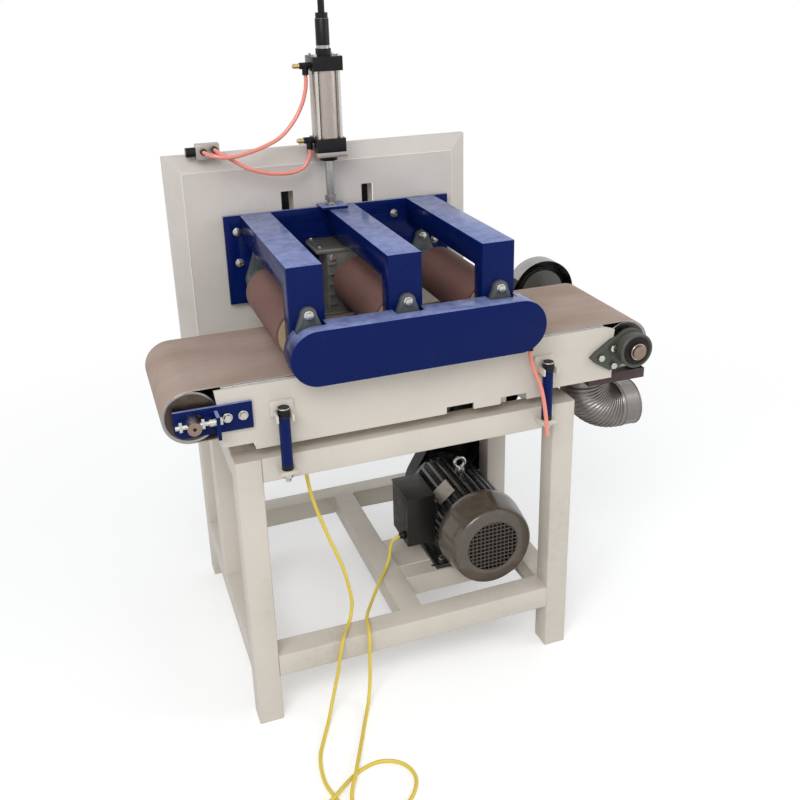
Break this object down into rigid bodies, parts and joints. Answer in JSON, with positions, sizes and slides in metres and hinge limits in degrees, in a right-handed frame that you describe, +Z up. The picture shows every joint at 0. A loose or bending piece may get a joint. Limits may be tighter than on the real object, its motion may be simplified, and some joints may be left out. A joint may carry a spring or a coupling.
{
  "type": "panel sander",
  "caption": "Free-standing panel sander: a wide abrasive belt over a flat bed, driven feed rollers on a carriage lifted by an air cylinder, and a belt drive in a square tube stand.",
  "frame": {"origin": "bottom centre of the machine's box without its cords, on the floor", "axes": "+Z up, +X along the feed towards the drive roller and the dust duct, +Y from the front to the back panel"},
  "size_m": [1.2339, 1.1225, 1.7],
  "materials": {
    "warm_white": "satin warm white paint",
    "blue": "satin blue paint",
    "steel": "turned and ground steel",
    "dark_steel": "dark grey steel",
    "zinc": "zinc plated fasteners",
    "cast": "green grey painted casting",
    "copper_grey": "copper grey painted motor",
    "rust_brown": "red brown primer",
    "aluminium": "cast and extruded aluminium",
    "black": "matte black",
    "rubber": "black rubber",
    "abrasive": "brown abrasive cloth",
    "sleeve": "brown rubber covering",
    "galvanised": "galvanised sheet",
    "brass": "brass knob",
    "cable_yellow": "yellow cable sheath",
    "air_red": "light red polyurethane tube"
  },
  "bodies": {
    "frame": {"stand_legs": "warm_white", "stand_top_rails": "warm_white", "stand_lower_rails": "warm_white", "motor_rails": "warm_white", "bed_frame": "warm_white", "platen": "steel", "sanding_belt": "abrasive", "drive_bearings": "cast", "v_belts": "rubber", "belt_guard": "dark_steel", "tension_brackets": "blue", "tension_rods": "zinc", "dust_hood": "rust_brown", "duct_elbow": "galvanised", "strut_lugs": "warm_white", "strut_tubes": "blue", "motor_body": "copper_grey", "fan_cowl": "copper_grey", "terminal_box": "copper_grey", "cable_glands": "black", "eye_bolt": "dark_steel", "machine_bolts": "zinc", "back_panel": "warm_white", "rear_posts": "warm_white", "guide_rails": "steel", "cylinder_bracket": "aluminium", "cylinder_heads": "black", "cylinder_barrel": "aluminium", "tie_rods": "zinc", "air_fittings": "black", "valve_block": "aluminium", "power_cable": "cable_yellow", "air_tube_upper": "air_red", "air_tube_lower": "air_red", "air_supply_tube": "air_red"},
    "carriage": {"piston_rod": "steel", "carriage_plate": "blue", "guide_blocks": "dark_steel", "carriage_arms": "blue", "front_cover": "blue", "roller_bearings": "aluminium", "reducer": "cast", "feed_motor": "copper_grey", "drive_chain": "dark_steel", "carriage_bolts": "zinc"},
    "idler_carrier": {"idler_shaft": "zinc"},
    "idler": {"idler_roller": "steel"},
    "drive": {"drive_roller": "steel", "drive_pulley": "dark_steel"},
    "motor_shaft": {"motor_rotor": "steel", "motor_pulley": "dark_steel"},
    "feed_1": {"feed_roller_1": "steel", "roller_sleeve_1": "sleeve"},
    "feed_2": {"feed_roller_2": "steel", "roller_sleeve_2": "sleeve"},
    "feed_3": {"feed_roller_3": "steel", "roller_sleeve_3": "sleeve"},
    "lift_valve_knob": {"valve_knob": "black"},
    "upper_flow_knob": {"flow_knob_upper": "brass"},
    "lower_flow_knob": {"flow_knob_lower": "brass"}
  },
  "joints": [
    {"name": "carriage_lift", "type": "slide", "parent": "frame", "child": "carriage", "axis": [0, 0, 1], "range_m": [0, 0.06]},
    {"name": "belt_tension", "type": "slide", "parent": "frame", "child": "idler_carrier", "axis": [1, 0, 0], "range_m": [0, 0.008]},
    {"name": "idler_spin", "type": "hinge", "parent": "idler_carrier", "child": "idler", "pos_m": [-0.555, -0.158, 0.855], "axis": [0, 1, 0], "continuous": true},
    {"name": "drive_spin", "type": "hinge", "parent": "frame", "child": "drive", "pos_m": [0.519, -0.158, 0.855], "axis": [0, 1, 0], "continuous": true},
    {"name": "motor_spin", "type": "hinge", "parent": "frame", "child": "motor_shaft", "pos_m": [0.195, -0.03, 0.3], "axis": [0, 1, 0], "continuous": true},
    {"name": "feed_spin_1", "type": "hinge", "parent": "carriage", "child": "feed_1", "pos_m": [-0.29, -0.123, 0.993], "axis": [0, 1, 0], "continuous": true},
    {"name": "feed_spin_2", "type": "hinge", "parent": "carriage", "child": "feed_2", "pos_m": [-0.065, -0.123, 0.993], "axis": [0, 1, 0], "continuous": true},
    {"name": "feed_spin_3", "type": "hinge", "parent": "carriage", "child": "feed_3", "pos_m": [0.16, -0.123, 0.993], "axis": [0, 1, 0], "continuous": true},
    {"name": "lift_valve_turn", "type": "hinge", "parent": "frame", "child": "lift_valve_knob", "pos_m": [-0.436, 0.172, 1.331], "axis": [1, 0, 0], "range_deg": [0, 90]},
    {"name": "upper_flow_turn", "type": "hinge", "parent": "frame", "child": "upper_flow_knob", "pos_m": [-0.168, 0.14, 1.524], "axis": [1, 0, 0], "range_deg": [0, 720]},
    {"name": "lower_flow_turn", "type": "hinge", "parent": "frame", "child": "lower_flow_knob", "pos_m": [-0.168, 0.14, 1.343], "axis": [1, 0, 0], "range_deg": [0, 720]}
  ],
  "couplings": [
    {"joint": "idler_spin", "follows": "drive_spin", "ratio": 1},
    {"joint": "motor_spin", "follows": "drive_spin", "ratio": 0.8039},
    {"joint": "feed_spin_1", "follows": "feed_spin_2", "ratio": 1},
    {"joint": "feed_spin_3", "follows": "feed_spin_2", "ratio": 1}
  ]
}
